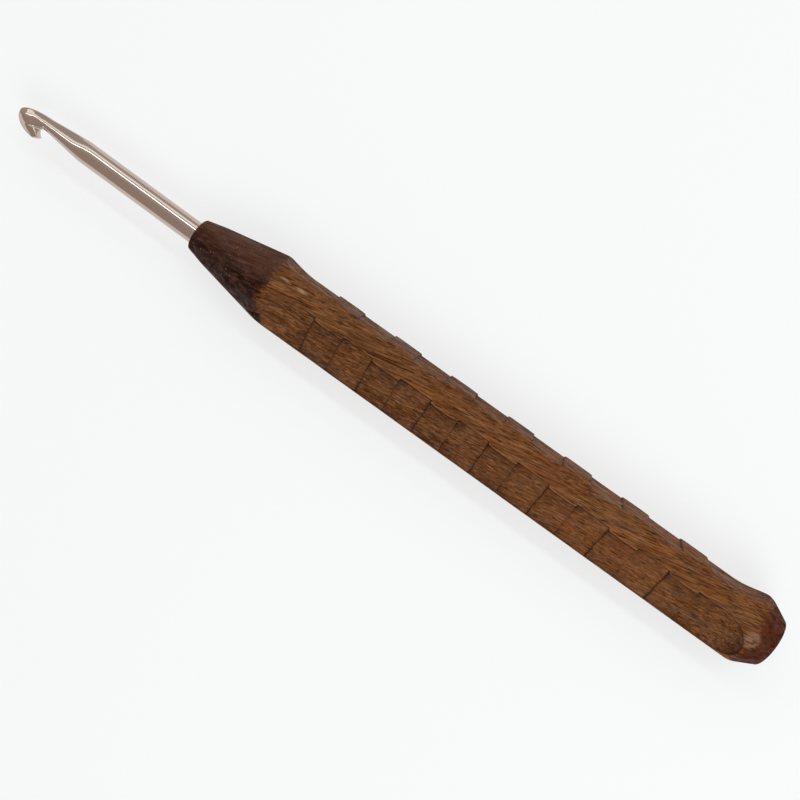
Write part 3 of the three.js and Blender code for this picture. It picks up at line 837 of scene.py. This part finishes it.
def makeAluminium():
    # Aluminium, drawn, pressed and polished: a warm grey mirror, slightly blurred by fine
    # polishing lines along the rod
    material, tree = newMaterial("polishedAluminium")
    width = metal["lineWidth"] * mm
    place = addNode(tree, "TexCoord", output="Object")
    lines = addNode(tree, "Mapping", ownFrame, {
        "Vector": place, "Scale": (metal["lineLength"] * mm, width, width)})
    noise = addNode(tree, "TexNoise", {}, {
        "Vector": lines, "Scale": 1.0,
        "Detail": metal["lineDetail"], "Roughness": metal["lineRoughness"]})
    rough = addNode(tree, "MapRange", {}, ramp(noise, *metal["roughness"]))
    bump = addNode(tree, "Bump", {}, {
        "Height": noise, "Strength": metal["bumpStrength"], "Distance": metal["bumpDepth"] * mm})
    shader = addNode(tree, "BsdfPrincipled", {}, {
        "Base Color": linear(metal["colour"]), "Metallic": 1.0,
        "Roughness": rough, "Normal": bump})
    addNode(tree, "OutputMaterial", {}, {"Surface": shader})
    return material


resin = {
    "dark": "#22130b", "light": "#5c3f20",
    "cloudSize": 0.4, "cloudDetail": 3, "roughness": 0.25, "ior": 1.55,
}


def makeEpoxy():
    # Amber epoxy, set with a glossy meniscus, and dusty where it meets the wood: brown, with
    # soft clouds and a clear highlight
    material, tree = newMaterial("setEpoxy")
    place = addNode(tree, "TexCoord", output="Object")
    noise = addNode(tree, "TexNoise", {}, {
        "Vector": place, "Scale": 1 / (resin["cloudSize"] * mm), "Detail": resin["cloudDetail"]})
    amber = addNode(tree, "Mix", ofColours, {
        "Factor": noise, "A": linear(resin["dark"]), "B": linear(resin["light"])})
    shader = addNode(tree, "BsdfPrincipled", {}, {
        "Base Color": amber, "Roughness": resin["roughness"], "IOR": resin["ior"]})
    addNode(tree, "OutputMaterial", {}, {"Surface": shader})
    return material


for (piece, node, slot), make in zip(pieces, (makeWalnut, makeAluminium, makeEpoxy)):
    piece.data.materials.append(make())
print("materials made")


# Floor, light and background

studio = {  # in metres and degrees, and a glow of 1 is white
    "ambient": 0.42,
    "floorColour": "#f4f2f0", "floorSide": 4.0, "floorDrop": 0.0001,
    "floorGlow": 0.65, "fadeStart": 0.2, "fadeEnd": 1.0,
    "roomWarm": "#b2a79f", "roomCool": "#bbb8b4", "warmReach": 0.26, "roomGlow": 1.0,
    "roomRadius": 0.8, "roomStart": -1.2, "roomEnd": 1.2, "roomPoints": 41,
    "lampColour": "#f0fcff",
    # Each lamp: the angle from straight up towards the picture's foot, the lean along the handle
    # towards the butt, its distance, its width and length, and its glow
    "lamps": {
        "headLamp": {"angle": -25, "lean": 0, "distance": 0.5, "size": (0.055, 1.3), "glow": 4.8},
        "sideLamp": {"angle": -50, "lean": 0, "distance": 0.5, "size": (0.17, 1.3), "glow": 1.0},
        "footLamp": {"angle": 32, "lean": 32, "distance": 0.6, "size": (0.3, 0.3), "glow": 4.9},
    },
}


def seenDirectly(tree):
    # 1 for the camera's rays and for those that come by way of a mirror or glass, or else 0
    seen = 0.0
    for ray in ("Is Camera Ray", "Is Glossy Ray", "Is Transmission Ray"):
        light = addNode(tree, "LightPath", output=ray)
        seen = addNode(tree, "Math", {"operation": "MAXIMUM"}, {0: light, 1: seen})
    return seen


def makeFloor():
    # A pale board. The camera sees part of it as glowing, so it stays near white and keeps the
    # object's shadow, and far off it fades into the white background
    side, low = studio["floorSide"] / 2, -studio["floorDrop"]
    corners = [(-side, -side, low), (side, -side, low), (side, side, low), (-side, side, low)]
    mesh = bpy.data.meshes.new("floor")
    mesh.from_pydata(corners, [], [(0, 1, 2, 3)])
    floor = bpy.data.objects.new("floor", mesh)
    bpy.context.scene.collection.objects.link(floor)
    material, tree = newMaterial("paleBoard")
    diffuse = addNode(tree, "BsdfDiffuse", {}, {"Color": linear(studio["floorColour"])})
    glow = addNode(tree, "Emission", {}, {"Color": (1, 1, 1, 1), "Strength": 1.0})
    place = addNode(tree, "TexCoord", output="Object")
    off = addNode(tree, "VectorMath", {"operation": "LENGTH"}, {"Vector": place})
    whiteness = addNode(tree, "MapRange", smooth, ramp(
        off, studio["fadeStart"], studio["fadeEnd"], studio["floorGlow"], 1))
    share = addNode(tree, "Math", product, {0: seenDirectly(tree), 1: whiteness})
    mix = addNode(tree, "MixShader", {}, {0: share, 1: diffuse, 2: glow})
    addNode(tree, "OutputMaterial", {}, {"Surface": mix})
    mesh.materials.append(material)


def makeRoom():
    # Half a closed barrel over the object, seen only in reflections: the dim room that the metal
    # shows between the lamps, warmer towards the picture's foot. A point is the radius along the
    # sine and cosine of its angle
    r, count = studio["roomRadius"], studio["roomPoints"]
    angles = np.radians(np.linspace(-90, 90, count))
    rows = [np.stack([np.full(count, x), -r * np.sin(angles), r * np.cos(angles)], -1)
            for x in (studio["roomStart"], studio["roomEnd"])]
    faces = [(i, i + 1, count + i + 1, count + i) for i in range(count - 1)]
    faces += [list(range(count)), list(range(count, 2 * count))]
    mesh = bpy.data.meshes.new("dimRoom")
    mesh.from_pydata(np.concatenate(rows).tolist(), [], faces)
    room = bpy.data.objects.new("dim_room", mesh)
    bpy.context.scene.collection.objects.link(room)
    for ray in ("visible_camera", "visible_diffuse", "visible_shadow", "visible_transmission"):
        setattr(room, ray, False)
    material, tree = newMaterial("dimRoom")
    place = addNode(tree, "TexCoord", output="Object")
    aside = addNode(tree, "SeparateXYZ", {}, {"Vector": place}, "Y")
    cool = addNode(tree, "MapRange", smooth, ramp(aside, -studio["warmReach"] * r, 0))
    colour = addNode(tree, "Mix", ofColours, {
        "Factor": cool, "A": linear(studio["roomWarm"]), "B": linear(studio["roomCool"])})
    glow = addNode(tree, "Emission", {}, {"Color": colour, "Strength": studio["roomGlow"]})
    addNode(tree, "OutputMaterial", {}, {"Surface": glow})
    mesh.materials.append(material)


def makeLamp(name, lamp):
    # An area lamp facing the object, off along the way that its angle and its lean give. Its
    # power is its glow times its area times pi
    angle, lean = math.radians(lamp["angle"]), math.radians(lamp["lean"])
    way = Vector((math.sin(lean), -math.sin(angle) * math.cos(lean),
                  math.cos(angle) * math.cos(lean)))
    data = bpy.data.lights.new(name, "AREA")
    data.shape = "RECTANGLE"
    data.size, data.size_y = lamp["size"]
    data.energy = lamp["glow"] * math.pi * data.size * data.size_y
    data.color = linear(studio["lampColour"])[:3]
    side = Vector((1, 0, 0)).cross(way).normalized()
    turned = Matrix((side, way.cross(side), way)).transposed().to_4x4()
    lampObject = bpy.data.objects.new(name, data)
    lampObject.matrix_world = Matrix.Translation(way * lamp["distance"]) @ turned
    bpy.context.scene.collection.objects.link(lampObject)


def makeWorld():
    # White where it's seen directly, and dimmer as a light on the object
    world = bpy.data.worlds.new("world")
    bpy.context.scene.world = world
    world.use_nodes = True
    tree = world.node_tree
    tree.nodes.clear()
    strength = addNode(tree, "MapRange", {}, ramp(seenDirectly(tree), 0, 1, studio["ambient"], 1))
    sky = addNode(tree, "Background", {}, {"Color": (1, 1, 1, 1), "Strength": strength})
    addNode(tree, "OutputWorld", {}, {"Surface": sky})


makeFloor()
makeRoom()
for name, lamp in studio["lamps"].items():
    makeLamp(name, lamp)
makeWorld()
bpy.context.scene.view_settings.view_transform = "Standard"
print("studio ready")
